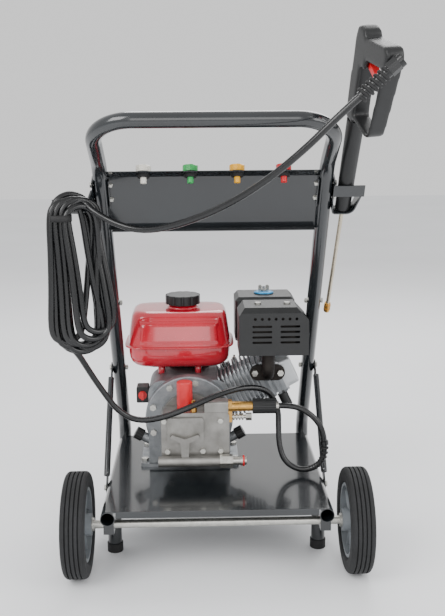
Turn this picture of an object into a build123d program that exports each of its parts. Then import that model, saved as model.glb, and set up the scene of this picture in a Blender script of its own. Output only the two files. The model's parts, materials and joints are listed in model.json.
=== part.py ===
"""Petrol pressure washer on a two-wheeled trolley: frame, engine, axial pump, gun and hose.

Frame of reference: +X to the right of a person facing the nozzle panel, +Y towards the recoil
starter, +Z up.  The origin is on the floor, in the middle of the box round the machine.
All sizes are in millimetres.
"""
import os
from math import cos, degrees, pi, radians, sin, tan

from build123d import *

os.makedirs("parts", exist_ok=True)

# ---------------------------------------------------------------- driving dimensions
# trolley
wheel_diameter = 203.0
tyre_width = 45.0
wheel_track = 536.0
axle_diameter = 16.0
axle_length = 600.0
axle_y = -109.3
tube_od = 28.0
tube_wall = 1.5
frame_width = 416.0          # between the tube centre lines
deck_height = 142.0          # top of the deck sheet
deck_depth = 424.0
deck_sheet = 2.0
deck_overhang = 37.0         # deck in front of the axle
upright_lean = 30.5          # degrees from vertical
joint_height = 517.0         # where the handle enters the lower upright
bend_height = 782.0
bar_height = 862.0
bar_reach = 95.0             # bar in front of the axle
panel_top = 762.0            # fold between the nozzle panel and its ledge
panel_face = 120.0
panel_ledge = 40.0
ledge_rise = 16.0            # degrees
nozzle_pitch = 85.0
# engine
crank_x = -54.0
crank_above_deck = 106.0
engine_setback = 185.0       # axle to the face that the pump bolts to
cylinder_tilt = 25.0         # degrees above horizontal
tank_length = 236.0
tank_width = 170.0
tank_seam_z = 389.0
# hose
hose_od = 12.0
# clearances
running = 0.08               # radial, shaft in bore
axial_play = 0.3
slip = 0.1                   # a part that slides in or on another
body_gap = 0.4               # between parts of different bodies

# ---------------------------------------------------------------- derived places
wheel_radius = wheel_diameter / 2
tube_r = tube_od / 2
tube_bore_r = tube_r - tube_wall
side_x = frame_width / 2
axle_r = axle_diameter / 2
side_tube_z = deck_height - deck_sheet - tube_r
deck_front = axle_y - deck_overhang
deck_back = deck_front + deck_depth
leg_y = deck_back + tube_r
leg_bend_z = deck_height + 23.0
crank_z = deck_height + crank_above_deck
face_y = axle_y + engine_setback
bar_y = axle_y - bar_reach
lean = tan(radians(upright_lean))


def upright_y(z):
    """Y of the upright's centre line at height z."""
    return leg_y - (z - leg_bend_z) * lean


def save(piece, name):
    """Label a finished piece and write its file."""
    piece.part.label = name
    export_step(piece.part, f"parts/{name}.step")


def across(x, y, z):
    """Plane whose normal is +X: local x is +Y and local y is +Z."""
    return Plane(origin=(x, y, z), x_dir=(0, 1, 0), z_dir=(1, 0, 0))


def facing(x, y, z):
    """Plane whose normal is -Y, towards the front: local x is +X and local y is +Z."""
    return Plane(origin=(x, y, z), x_dir=(1, 0, 0), z_dir=(0, -1, 0))


# ---------------------------------------------------------------- wheels
rim_radius = 71.0
groove_width = 2.5
groove_depth = 4.0
hub_radius = 21.0
hub_length = 54.0
spoke_count = 10

for side, name in ((-1, "left"), (1, "right")):
    centre = (side * wheel_track / 2, axle_y, wheel_radius)
    spin = Axis(centre, (1, 0, 0))
    with BuildPart() as tyre:
        with BuildSketch(facing(*centre)):
            with Locations((0, (rim_radius + wheel_radius) / 2)):
                Rectangle(tyre_width, wheel_radius - rim_radius)
            fillet(vertices().group_by(Axis.Z)[-1], 9)
            with Locations(*[(x, wheel_radius) for x in (-12, -4, 4, 12)]):
                Rectangle(groove_width, 2 * groove_depth, mode=Mode.SUBTRACT)
        revolve(axis=spin)
    save(tyre, f"tyre_{name}")

    with BuildPart() as rim:
        with BuildSketch(facing(*centre)):
            with Locations((0, rim_radius - 3)):
                Rectangle(38, 6)
            with Locations((0, rim_radius - 8)):
                Rectangle(6, 8)
            with Locations((0, (axle_r + running + hub_radius) / 2)):
                Rectangle(hub_length, hub_radius - axle_r - running)
        revolve(axis=spin)
        with BuildSketch(across(centre[0] - 3, axle_y, wheel_radius)):
            Circle(rim_radius - 5)
            Circle(axle_r + running, mode=Mode.SUBTRACT)
            with PolarLocations((hub_radius + rim_radius - 6) / 2 + 1, spoke_count, start_angle=18):
                SlotOverall(30, 12, mode=Mode.SUBTRACT)
        extrude(amount=6)
        with BuildSketch(across(centre[0] - 13, axle_y, wheel_radius)):
            with PolarLocations((hub_radius + rim_radius - 6) / 2, spoke_count):
                Rectangle(rim_radius - 6 - hub_radius + 3, 3.5)
        extrude(amount=26)
    save(rim, f"rim_{name}")

# ---------------------------------------------------------------- axle and its nuts
hub_in = wheel_track / 2 - hub_length / 2
hub_out = wheel_track / 2 + hub_length / 2
collar_radius = 13.0
washer_radius = 14.0
washer_thick = 2.0
nut_across = 20.0

with BuildPart() as axle:
    with BuildSketch(across(-axle_length / 2, axle_y, wheel_radius)):
        Circle(axle_r)
    extrude(amount=axle_length)
    for side in (-1, 1):
        with BuildSketch(across(side * (hub_in - axial_play - 2), axle_y, wheel_radius)):
            Circle(collar_radius)
        extrude(amount=2, both=True)
save(axle, "axle")

nut_start = hub_out + axial_play + washer_thick
with BuildPart() as axle_nuts:
    for side in (-1, 1):
        with BuildSketch(across(side * (hub_out + axial_play), axle_y, wheel_radius)):
            Circle(washer_radius)
            Circle(axle_r, mode=Mode.SUBTRACT)
        extrude(amount=side * washer_thick)
        with BuildSketch(across(side * nut_start, axle_y, wheel_radius)):
            RegularPolygon(nut_across / 2, 6, major_radius=False)
            Circle(axle_r, mode=Mode.SUBTRACT)
        extrude(amount=side * (axle_length / 2 - nut_start - 1))
save(axle_nuts, "axle_nuts")

# ---------------------------------------------------------------- deck
lip_drop = 13.0
base_bolt_d = 8.0
base_bolts = [(crank_x + x, y) for x in (-96, 96) for y in (face_y + 22, face_y + 112)]
lip_half = side_x - tube_r - 2
with BuildPart() as deck_plate:
    with BuildSketch(Plane.XY.offset(deck_height - deck_sheet)):
        with Locations((0, (deck_front + deck_back) / 2)):
            Rectangle(frame_width + 8, deck_depth)
    extrude(amount=deck_sheet)
    with BuildSketch(Plane.XY.offset(deck_height - lip_drop)):
        with Locations((0, deck_front + deck_sheet / 2)):
            Rectangle(2 * lip_half, deck_sheet)
    extrude(amount=lip_drop)
    with BuildSketch(Plane.XY.offset(deck_height)):
        with Locations(*base_bolts):
            Circle(base_bolt_d / 2)
    extrude(amount=-deck_sheet, mode=Mode.SUBTRACT)
    fillet(deck_plate.edges().filter_by(Axis.X).group_by(Axis.Y)[0].sort_by(Axis.Z)[-1], 1.5)
save(deck_plate, "deck_plate")

# ---------------------------------------------------------------- panel frame of reference
up_dir = Vector(0, -sin(radians(upright_lean)), cos(radians(upright_lean)))
front_dir = Vector(0, -cos(radians(upright_lean)), -sin(radians(upright_lean)))
ledge_dir = Vector(0, -cos(radians(ledge_rise)), sin(radians(ledge_rise)))
ledge_up = Vector(0, sin(radians(ledge_rise)), cos(radians(ledge_rise)))
fold = Vector(0, upright_y(panel_top), panel_top)
panel_sheet = 1.5
panel_half = side_x - tube_r
panel_lip = 15.0
bolt_drops = (18.0, 50.0)      # below the fold, along the panel
bracket_sheet = 2.5
bolt_d = 6.0
head_across = 10.0
head_height = 4.0
tail = 6.0


def cross_bolt(outer, inner, y, z):
    """A bolt along X with its head on the outer face and its nut on the inner one."""
    out = 1 if outer > inner else -1
    with BuildPart() as bolt:
        with BuildSketch(across(outer, y, z)):
            RegularPolygon(head_across / 2, 6, major_radius=False)
        extrude(amount=out * head_height)
        with BuildSketch(across(outer, y, z)):
            Circle(bolt_d / 2)
        extrude(amount=inner - outer - out * tail)
        with BuildSketch(across(inner, y, z)):
            RegularPolygon(head_across / 2, 6, major_radius=False)
        extrude(amount=-out * 5)
    return bolt.part


# ---------------------------------------------------------------- frame bolts
brace_top_z = 331.0
brace_low_y = axle_y + 120.0
brace_tab = 3.0
joint_bolt_z = joint_height - 22
bolts = []
for side in (-1, 1):
    outer = side * (side_x + tube_r)
    inner = side * (side_x - tube_r)
    bolts.append(cross_bolt(outer, inner, upright_y(joint_bolt_z), joint_bolt_z))
    bolts.append(cross_bolt(outer + side * brace_tab, inner, upright_y(brace_top_z), brace_top_z))
    bolts.append(cross_bolt(outer + side * brace_tab, inner, brace_low_y, side_tube_z))
    for drop in bolt_drops:
        spot = fold - up_dir * drop
        ends = (outer + side * bracket_sheet, inner - side * panel_sheet)
        bolts.append(cross_bolt(*ends, spot.Y, spot.Z))
with BuildPart() as frame_bolts:
    add(bolts)
save(frame_bolts, "frame_bolts")

# ---------------------------------------------------------------- side tubes, stubs and saddles
stub_y = axle_y + 96.0
foot_height = 18.0
foot_wall = 3.0
stub_start = foot_wall
saddle_length = 34.0
saddle_thick = 20.0

for side, name in ((-1, "left"), (1, "right")):
    x = side * side_x
    with BuildPart() as side_tube:
        with BuildSketch(facing(x, deck_back, side_tube_z)):
            Circle(tube_r)
        extrude(amount=deck_depth - 3)
        with BuildSketch(Plane.XY.offset(stub_start)):
            with Locations((x, stub_y)):
                Circle(tube_r)
        extrude(amount=side_tube_z - stub_start - tube_r / 3)
        with BuildSketch(across(x - saddle_thick / 2, axle_y, wheel_radius)):
            with Locations((0, 3)):
                Rectangle(saddle_length, side_tube_z - wheel_radius + 10)
        extrude(amount=saddle_thick)
        with BuildSketch(facing(x, deck_back, side_tube_z)):
            Circle(tube_bore_r)
        extrude(amount=deck_depth, mode=Mode.SUBTRACT)
        with BuildSketch(Plane.XY):
            with Locations((x, stub_y)):
                Circle(tube_bore_r)
        extrude(amount=side_tube_z - tube_r, mode=Mode.SUBTRACT)
        with BuildSketch(across(x - saddle_thick, axle_y, wheel_radius)):
            Circle(axle_r)
        extrude(amount=2 * saddle_thick, mode=Mode.SUBTRACT)
        with BuildSketch(across(x - tube_od, brace_low_y, side_tube_z)):
            Circle(bolt_d / 2)
        extrude(amount=2 * tube_od, mode=Mode.SUBTRACT)
    save(side_tube, f"side_tube_{name}")

# ---------------------------------------------------------------- lower uprights
socket_depth = 60.0
for side, name in ((-1, "left"), (1, "right")):
    x = side * side_x
    top = (x, upright_y(joint_height), joint_height)
    with BuildPart() as upright:
        with BuildLine():
            FilletPolyline((x, leg_y, foot_wall), (x, leg_y, leg_bend_z), top, radius=60)
        with BuildSketch(Plane.XY.offset(foot_wall)):
            with Locations((x, leg_y)):
                Circle(tube_r)
                Circle(tube_bore_r, mode=Mode.SUBTRACT)
        sweep()
        add(frame_bolts.part, mode=Mode.SUBTRACT)
    save(upright, f"lower_upright_{name}")

# ---------------------------------------------------------------- rubber feet
with BuildPart() as feet:
    for side in (-1, 1):
        for y in (stub_y, leg_y):
            with BuildSketch(Plane.XY):
                with Locations((side * side_x, y)):
                    Circle(tube_r + 2)
            extrude(amount=foot_height)
            with BuildSketch(Plane.XY.offset(foot_wall)):
                with Locations((side * side_x, y)):
                    Circle(tube_r)
            extrude(amount=foot_height, mode=Mode.SUBTRACT)
save(feet, "feet")

# ---------------------------------------------------------------- handle
spigot_r = tube_bore_r - slip
with BuildPart() as handle_frame:
    corners = []
    for side in (-1, 1):
        leg = [
            (side * side_x, upright_y(joint_height), joint_height),
            (side * side_x, upright_y(bend_height), bend_height),
            (side * side_x, bar_y, bar_height),
        ]
        corners += leg if side < 0 else leg[::-1]
    with BuildLine():
        FilletPolyline(*corners, radius=[80, 70, 70, 80])
    with BuildSketch(Plane(origin=corners[0], z_dir=tuple(up_dir))):
        Circle(tube_r)
        Circle(tube_bore_r - 1, mode=Mode.SUBTRACT)
    sweep()
    for side in (-1, 1):
        seat = (side * side_x, upright_y(joint_height), joint_height)
        with BuildSketch(Plane(origin=seat, z_dir=tuple(up_dir)).offset(3)):
            Circle(spigot_r)
            Circle(spigot_r - tube_wall, mode=Mode.SUBTRACT)
        extrude(amount=-socket_depth)
    add(frame_bolts.part, mode=Mode.SUBTRACT)
save(handle_frame, "handle_frame")

# ---------------------------------------------------------------- braces
brace_r = 8.0
brace_gap = side_x + tube_r
for side, name in ((-1, "left"), (1, "right")):
    low = Vector(side * brace_gap, brace_low_y, side_tube_z)
    high = Vector(side * brace_gap, upright_y(brace_top_z), brace_top_z)
    run = (high - low).normalized()
    shift = Vector(side * (brace_tab / 2 + 1.5), 0, 0)
    with BuildPart() as brace:
        with BuildSketch(Plane(origin=low + shift + run * 26, z_dir=run)):
            Circle(brace_r - 1.5)
            Circle(brace_r - 3, mode=Mode.SUBTRACT)
        extrude(amount=(high - low).length - 52)
        for start, way in ((low, run), (high, -run)):
            flat = Plane(origin=start, x_dir=way, z_dir=(side, 0, 0))
            with BuildSketch(flat):
                with Locations((11, 0)):
                    SlotOverall(46, 20)
            extrude(amount=brace_tab)
        add(frame_bolts.part, mode=Mode.SUBTRACT)
    save(brace, f"brace_{name}")

# ---------------------------------------------------------------- nozzle panel
hole_r = 9.0
nozzle_xs = [(i - 1.5) * nozzle_pitch for i in range(4)]
low_edge = fold - up_dir * panel_face
ledge_mid = fold + ledge_dir * (panel_ledge / 2)
panel_plane = Plane(origin=(-panel_half, 0, 0), x_dir=(0, 1, 0), z_dir=(1, 0, 0))
with BuildPart() as nozzle_panel:
    bends = [
        low_edge + Vector(0, -panel_lip * 0.95, -panel_lip * 0.3),
        low_edge,
        fold,
        fold + ledge_dir * panel_ledge,
    ]
    with BuildSketch(panel_plane):
        with BuildLine():
            bent = Polyline(*[(p.Y, p.Z) for p in bends])
            offset(bent, amount=panel_sheet, side=Side.LEFT)
        make_face()
    extrude(amount=2 * panel_half)
    for side in (-1, 1):
        spot = fold - up_dir * 34
        ear = Plane(origin=(side * panel_half, spot.Y, spot.Z), x_dir=up_dir, z_dir=(-side, 0, 0))
        with BuildSketch(ear):
            Rectangle(60, 22)
        extrude(amount=panel_sheet)
    for x in nozzle_xs:
        with BuildSketch(Plane(origin=ledge_mid + Vector(x, 0, 0), x_dir=(1, 0, 0), z_dir=ledge_up)):
            Circle(hole_r)
        extrude(amount=6, both=True, mode=Mode.SUBTRACT)
    add(frame_bolts.part, mode=Mode.SUBTRACT)
save(nozzle_panel, "nozzle_panel")

# ---------------------------------------------------------------- grommets and quick-change nozzles
stem_r = 5.5
collar_r = 11.0
collar_thick = 2.5
nozzle_cap_r = 14.0
nozzle_planes = [Plane(origin=ledge_mid + Vector(x, 0, 0), x_dir=(1, 0, 0), z_dir=ledge_up) for x in nozzle_xs]
with BuildPart() as grommets:
    for plane in nozzle_planes:
        with BuildSketch(plane.offset(-panel_sheet - 6)):
            Circle(collar_r)
        extrude(amount=6)
        with BuildSketch(plane.offset(-panel_sheet)):
            Circle(hole_r)
        extrude(amount=panel_sheet)
        with BuildSketch(plane):
            Circle(collar_r)
        extrude(amount=collar_thick)
        with BuildSketch(plane.offset(-10)):
            Circle(stem_r + running)
        extrude(amount=20, mode=Mode.SUBTRACT)
save(grommets, "grommets")

for plane, name in zip(nozzle_planes, ("white", "green", "yellow", "red")):
    with BuildPart() as nozzle:
        with BuildSketch(plane.offset(-18)):
            Circle(stem_r)
        extrude(amount=22)
        with BuildSketch(plane.offset(collar_thick + axial_play)):
            RegularPolygon(nozzle_cap_r, 12)
        extrude(amount=11)
        chamfer(nozzle.edges().sort_by(Axis(plane.origin, plane.z_dir))[-1], 1.5)
        with BuildSketch(plane.offset(-18)):
            Circle(1.2)
        extrude(amount=28, mode=Mode.SUBTRACT)
    save(nozzle, f"nozzle_{name}")

# ---------------------------------------------------------------- hose hook, on the left upright
hook_r = 4.0
hook_drop = 34.0             # how far the arm hangs below its bracket
bracket_mid = fold - up_dir * ((bolt_drops[0] + bolt_drops[1]) / 2)
bracket_x = side_x + tube_r
with BuildPart() as hose_hook:
    bracket_root = (-bracket_x, bracket_mid.Y, bracket_mid.Z)
    with BuildSketch(Plane(origin=bracket_root, x_dir=up_dir, z_dir=(-1, 0, 0))):
        Rectangle(56, 22)
    extrude(amount=bracket_sheet)
    arm = Vector(-bracket_x - bracket_sheet - hook_r + 1.5, bracket_mid.Y, bracket_mid.Z)
    with BuildLine():
        FilletPolyline(
            tuple(arm + Vector(0, 8, 0)),
            tuple(arm + Vector(-10, -30, -hook_drop)),
            tuple(arm + Vector(-62, -38, 2 - hook_drop)),
            tuple(arm + Vector(-64, -38, 24 - hook_drop)),
            radius=[8, 12],
        )
    start = arm + Vector(0, 8, 0)
    with BuildSketch(Plane(origin=start, z_dir=Vector(-10, -38, -hook_drop))):
        Circle(hook_r)
    sweep()
    add(frame_bolts.part, mode=Mode.SUBTRACT)
save(hose_hook, "hose_hook")

# ---------------------------------------------------------------- gun axis
gun_x = 246.0                # lance axis beside the holder
gun_tilt = 0.03              # lean to the right per unit of length
gun_origin = Vector(gun_x, bracket_mid.Y, bracket_mid.Z)
lance_dir = (up_dir + Vector(gun_tilt, 0, 0)).normalized()
grip_side = front_dir + Vector(0.2, 0, 0)
grip_side = (grip_side - lance_dir * grip_side.dot(lance_dir)).normalized()
across_dir = lance_dir.cross(grip_side)
gun_plane = Plane(origin=gun_origin, x_dir=grip_side, z_dir=grip_side.cross(lance_dir))
grip_r = 14.5
grip_low = -42.0
grip_top = 150.0
gun_top = 318.0
lance_r = 4.0
lance_low = -300.0


def along_lance(distance):
    """Plane square to the lance at a distance up its axis from the holder."""
    return Plane(origin=gun_origin + lance_dir * distance, x_dir=across_dir, z_dir=lance_dir)


# ---------------------------------------------------------------- lance and its grip
coupler_r = 7.0
coupler_length = 22.0
with BuildPart() as lance_tube:
    with BuildSketch(along_lance(lance_low)):
        Circle(lance_r)
        Circle(lance_r - 1.2, mode=Mode.SUBTRACT)
    extrude(amount=grip_low - lance_low + 30)
save(lance_tube, "lance_tube")

with BuildPart() as lance_coupler:
    with BuildSketch(along_lance(lance_low - 6)):
        Circle(coupler_r - 1)
    extrude(amount=coupler_length)
    with BuildSketch(along_lance(lance_low - 2)):
        Circle(coupler_r)
    extrude(amount=5)
    with BuildSketch(along_lance(lance_low + 7)):
        Circle(coupler_r)
    extrude(amount=5)
    with BuildSketch(along_lance(lance_low)):
        Circle(lance_r)
    extrude(amount=coupler_length, mode=Mode.SUBTRACT)
    with BuildSketch(along_lance(lance_low - 6)):
        Circle(lance_r - 1.2)
    extrude(amount=6, mode=Mode.SUBTRACT)
save(lance_coupler, "lance_coupler")

with BuildPart() as lance_grip:
    with BuildSketch(along_lance(grip_low)):
        Circle(grip_r)
    with BuildSketch(along_lance(grip_top)):
        Circle(grip_r + 1.5)
    loft()
    fillet(lance_grip.edges().sort_by(Axis(gun_origin, lance_dir))[0], 3)
    with BuildSketch(along_lance(grip_low)):
        Circle(lance_r)
    extrude(amount=30, mode=Mode.SUBTRACT)
save(lance_grip, "lance_grip")

# ---------------------------------------------------------------- gun holder, on the right upright
strap_width = 26.0
strap_sheet = bracket_sheet
holder_plane = Plane(origin=gun_origin, x_dir=(1, 0, 0), z_dir=front_dir)
with BuildPart() as gun_holder:
    with BuildSketch(Plane(origin=(bracket_x, bracket_mid.Y, bracket_mid.Z), x_dir=up_dir, z_dir=(1, 0, 0))):
        Rectangle(56, 22)
    extrude(amount=bracket_sheet)
    near = bracket_x + bracket_sheet - gun_x
    with BuildSketch(holder_plane.offset(grip_r + 1)):
        with Locations((near + 26, 8)):
            Rectangle(58, 24)
    extrude(amount=bracket_sheet)
    with BuildSketch(holder_plane.offset(-11)):
        with Locations((near - bracket_sheet / 2, 8)):
            Rectangle(bracket_sheet, 24)
    extrude(amount=11 + grip_r + 2)
    with BuildSketch(holder_plane.offset(-strap_width / 2 + 4)):
        with BuildLine():
            strap = FilletPolyline(
                (near, -24),
                (near, grip_low - axial_play),
                (near + 36, grip_low - axial_play),
                (near + 50, 2),
                radius=[5, 16],
            )
            offset(strap, amount=strap_sheet, side=Side.RIGHT)
        make_face()
    extrude(amount=strap_width)
    with BuildSketch(along_lance(grip_low - 20)):
        Circle(lance_r + 1)
    extrude(amount=25, mode=Mode.SUBTRACT)
    add([frame_bolts.part, lance_grip.part], mode=Mode.SUBTRACT)
save(gun_holder, "gun_holder")

# ---------------------------------------------------------------- gun body with its closed hand grip
gun_thick = 32.0
body_half = 18.0
grip_reach = 112.0           # from the lance axis to the end of the hand grip
grip_thick = 40.0
grip_sweep = 22.0            # rise of the hand grip towards its end
guard_sheet = 8.0
guard_low = grip_top + 10
opening_top = gun_top - grip_thick
pivot_v = body_half + 9
pivot_u = opening_top - 8
pivot_r = 2.5
trigger_thick = 12.0
with BuildPart() as gun_body:
    with BuildSketch(gun_plane.offset(-gun_thick / 2)):
        with BuildLine():
            FilletPolyline(
                (-body_half + 3, grip_top),
                (body_half - 3, grip_top),
                (body_half, guard_low),
                (grip_reach - 20, guard_low),
                (grip_reach, opening_top),
                (grip_reach + 8, gun_top + grip_sweep),
                (body_half + 4, gun_top - 6),
                (body_half - 2, gun_top + 4),
                (-body_half, gun_top + 4),
                (-body_half, grip_top + 40),
                close=True,
                radius=[1, 1, 3, 22, 30, 16, 4, 10, 16, 12],
            )
        make_face()
        with BuildLine():
            FilletPolyline(
                (body_half, guard_low + guard_sheet),
                (grip_reach - 20 - guard_sheet / 2, guard_low + guard_sheet),
                (grip_reach - guard_sheet, opening_top + grip_sweep - 4),
                (body_half + 18, opening_top),
                (body_half + 18, opening_top - 18),
                (body_half, opening_top - 18),
                close=True,
                radius=[3, 14, 6, 2, 3, 2],
            )
        make_face(mode=Mode.SUBTRACT)
    extrude(amount=gun_thick)
    with BuildSketch(gun_plane.offset(-trigger_thick / 2 - body_gap)):
        with Locations((body_half + 10, opening_top - 10)):
            Rectangle(18, 18.5)
    extrude(amount=trigger_thick + 2 * body_gap, mode=Mode.SUBTRACT)
    with BuildSketch(gun_plane.offset(-gun_thick / 2)):
        with Locations((pivot_v, pivot_u)):
            Circle(pivot_r)
    extrude(amount=gun_thick)
save(gun_body, "gun_body")

with BuildPart() as trigger:
    with BuildSketch(gun_plane.offset(-trigger_thick / 2)):
        with Locations((pivot_v, pivot_u)):
            Circle(6)
        with BuildLine():
            FilletPolyline(
                (pivot_v - 3, pivot_u - 5.5),
                (grip_reach - 28, pivot_u - 16),
                (grip_reach - 24, pivot_u - 10),
                (pivot_v + 30, pivot_u - 2),
                (pivot_v + 2, pivot_u + 5.5),
                close=True,
                radius=[1, 2.5, 3, 12, 1],
            )
        make_face()
        with Locations((pivot_v, pivot_u)):
            Circle(pivot_r + running, mode=Mode.SUBTRACT)
    extrude(amount=trigger_thick)
save(trigger, "trigger")

# ---------------------------------------------------------------- strain relief on the gun
relief_length = 58.0
relief_r = 9.5
relief_dir = Vector(-0.74, 0.1, -0.66).normalized()
ball_r = 12.0
inlet = gun_origin + lance_dir * (gun_top + grip_sweep - grip_thick / 2) + grip_side * (grip_reach + 4)
inlet_ball = inlet + grip_side * (ball_r - 1)
relief_start = inlet_ball + relief_dir * (ball_r + 6)
relief_end = relief_start + relief_dir * relief_length
with BuildPart() as strain_relief:
    with BuildSketch(Plane(origin=inlet, z_dir=grip_side)):
        Circle(9)
    extrude(amount=ball_r)
    with BuildSketch(Plane(origin=inlet_ball, z_dir=relief_dir)):
        RegularPolygon(ball_r, 6)
    extrude(amount=ball_r + 6, both=False)
    with BuildSketch(Plane(origin=inlet_ball, z_dir=relief_dir)):
        Circle(ball_r - 1)
    extrude(amount=-8)
    with BuildSketch(Plane(origin=relief_start, z_dir=relief_dir)):
        Circle(relief_r)
    with BuildSketch(Plane(origin=relief_end, z_dir=relief_dir)):
        Circle(relief_r - 1.5)
    loft()
    add(gun_body.part, mode=Mode.SUBTRACT)
save(strain_relief, "strain_relief")

# ---------------------------------------------------------------- engine block
cover_thick = 22.0
case_r = 92.0
neck_r = 10.0
case_half = 86.0
case_depth = 108.0
case_back = face_y + cover_thick + case_depth
rail_sheet = 8.0
rail_half = 104.0
oil_y = face_y + neck_r + 1
oil_lift = 30.0              # degrees
cap_stem_r = 7.0
cap_r = 13.0
shaft_r = 10.0
oil_necks = []
for side, name in ((-1, "left"), (1, "right")):
    lift = Vector(side * cos(radians(oil_lift)), 0, sin(radians(oil_lift)))
    root = Vector(crank_x + side * 70, oil_y, crank_z - 55)
    oil_necks.append((name, root, lift))
neck_length = 33.0

with BuildPart() as crankcase_cover:
    with BuildSketch(facing(crank_x, face_y + cover_thick, crank_z)):
        Circle(case_r)
        with Locations((0, (deck_height - crank_z) / 2 + rail_sheet / 2)):
            Rectangle(2 * case_half, crank_above_deck - rail_sheet)
    extrude(amount=cover_thick)
    fillet(crankcase_cover.faces().sort_by(Axis.Y)[0].edges(), 3)
    for name, root, lift in oil_necks:
        with BuildSketch(Plane(origin=root, z_dir=lift)):
            Circle(neck_r)
        extrude(amount=neck_length)
        with BuildSketch(Plane(origin=root + lift * 12, z_dir=lift)):
            Circle(cap_stem_r + running)
        extrude(amount=neck_length, mode=Mode.SUBTRACT)
    with BuildSketch(facing(crank_x, face_y + cover_thick + 1, crank_z)):
        Circle(shaft_r + running)
    extrude(amount=cover_thick + 5, mode=Mode.SUBTRACT)
save(crankcase_cover, "crankcase_cover")

for name, root, lift in oil_necks:
    with BuildPart() as oil_cap:
        with BuildSketch(Plane(origin=root + lift * 13, z_dir=lift)):
            Circle(cap_stem_r)
        extrude(amount=neck_length - 12)
        with BuildSketch(Plane(origin=root + lift * (neck_length + axial_play), z_dir=lift)):
            Circle(cap_r)
            with PolarLocations(cap_r, 10):
                Circle(1.5, mode=Mode.SUBTRACT)
        extrude(amount=17)
    save(oil_cap, f"oil_cap_{name}")

fin_dir = Vector(cos(radians(cylinder_tilt)), 0, sin(radians(cylinder_tilt)))
cylinder_y = face_y + cover_thick + 52
case_top = crank_z + 78


def along_cylinder(distance):
    """Plane square to the cylinder, at a distance from the crankshaft; local x is +Y."""
    spot = Vector(crank_x, cylinder_y, crank_z) + fin_dir * distance
    return Plane(origin=spot, x_dir=(0, 1, 0), z_dir=fin_dir)


cavity_r = 70.0
with BuildPart() as crankcase:
    with BuildSketch(facing(crank_x, case_back, crank_z)):
        with Locations((0, (case_top - deck_height - rail_sheet) / 2 + rail_sheet - crank_above_deck)):
            Rectangle(2 * case_half, case_top - deck_height - rail_sheet)
        fillet(vertices().group_by(Axis.Z)[-1], 30)
    extrude(amount=case_depth)
    with BuildSketch(Plane.XY.offset(deck_height)):
        with Locations((crank_x, (face_y + 4 + case_back) / 2)):
            Rectangle(2 * rail_half, case_back - face_y - 4)
        fillet(vertices(), 8)
    extrude(amount=rail_sheet)
    with BuildSketch(Plane.XY.offset(deck_height)):
        with Locations(*base_bolts):
            Circle(base_bolt_d / 2)
    extrude(amount=rail_sheet, mode=Mode.SUBTRACT)
    with BuildSketch(along_cylinder(60)):
        Rectangle(88, 88)
    extrude(amount=26)
    with BuildSketch(facing(crank_x, case_back - 8, crank_z)):
        Circle(cavity_r)
    extrude(amount=case_depth, mode=Mode.SUBTRACT)
    with BuildSketch(facing(crank_x, case_back + 1, crank_z)):
        Circle(shaft_r + running)
    extrude(amount=20, mode=Mode.SUBTRACT)
save(crankcase, "crankcase")

# ---------------------------------------------------------------- finned cylinder and head
barrel_start = 86.0
fin_pitch = 9.0
fin_sheet = 3.0
fin_count = 9
fin_size = 100.0
head_start = barrel_start + fin_count * fin_pitch
head_length = 46.0
head_end = head_start + head_length
bore_r = 34.0
with BuildPart() as cylinder:
    with BuildSketch(along_cylinder(barrel_start)):
        Rectangle(84, 84)
        fillet(vertices(), 20)
    extrude(amount=head_start - barrel_start)
    for i in range(fin_count):
        with BuildSketch(along_cylinder(barrel_start + 3 + i * fin_pitch)):
            Rectangle(fin_size, fin_size)
            fillet(vertices(), 10)
        extrude(amount=fin_sheet)
    with BuildSketch(along_cylinder(head_start)):
        Rectangle(fin_size - 2, 88)
        fillet(vertices(), 8)
    extrude(amount=head_length)
    for i in range(3):
        with BuildSketch(along_cylinder(head_start + 8 + i * 12)):
            Rectangle(fin_size + 12, fin_size + 4)
            Rectangle(fin_size - 12, 76, mode=Mode.SUBTRACT)
        extrude(amount=6, mode=Mode.SUBTRACT)
    with BuildSketch(along_cylinder(barrel_start)):
        Circle(bore_r)
    extrude(amount=head_start - barrel_start + 4, mode=Mode.SUBTRACT)
    add(crankcase.part, mode=Mode.SUBTRACT)
save(cylinder, "cylinder")

rocker_size = (90.0, 64.0)
rocker_depth = 30.0
with BuildPart() as rocker_cover:
    with BuildSketch(along_cylinder(head_end)):
        with Locations((0, -6)):
            Rectangle(rocker_size[0] + 6, rocker_size[1] + 8)
            fillet(vertices(), 8)
    extrude(amount=5)
    with BuildSketch(along_cylinder(head_end + 5)):
        with Locations((0, -6)):
            Rectangle(*rocker_size)
            fillet(vertices(), 10)
    extrude(amount=rocker_depth - 5, taper=4)
    fillet(rocker_cover.faces().sort_by(Axis((0, 0, 0), fin_dir))[-1].edges(), 4)
save(rocker_cover, "rocker_cover")

# ---------------------------------------------------------------- fuel tank
tank_x = -74.0
tank_y = axle_y + 316.0
tank_foot = 50.0
tank_rise = 72.0
tank_sheet = 2.0
seam_sheet = 3.0
cap_x = -66.0
fuel_cap_r = 38.0
neck_in_r = 22.0
tank_top = tank_seam_z + tank_rise


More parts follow.
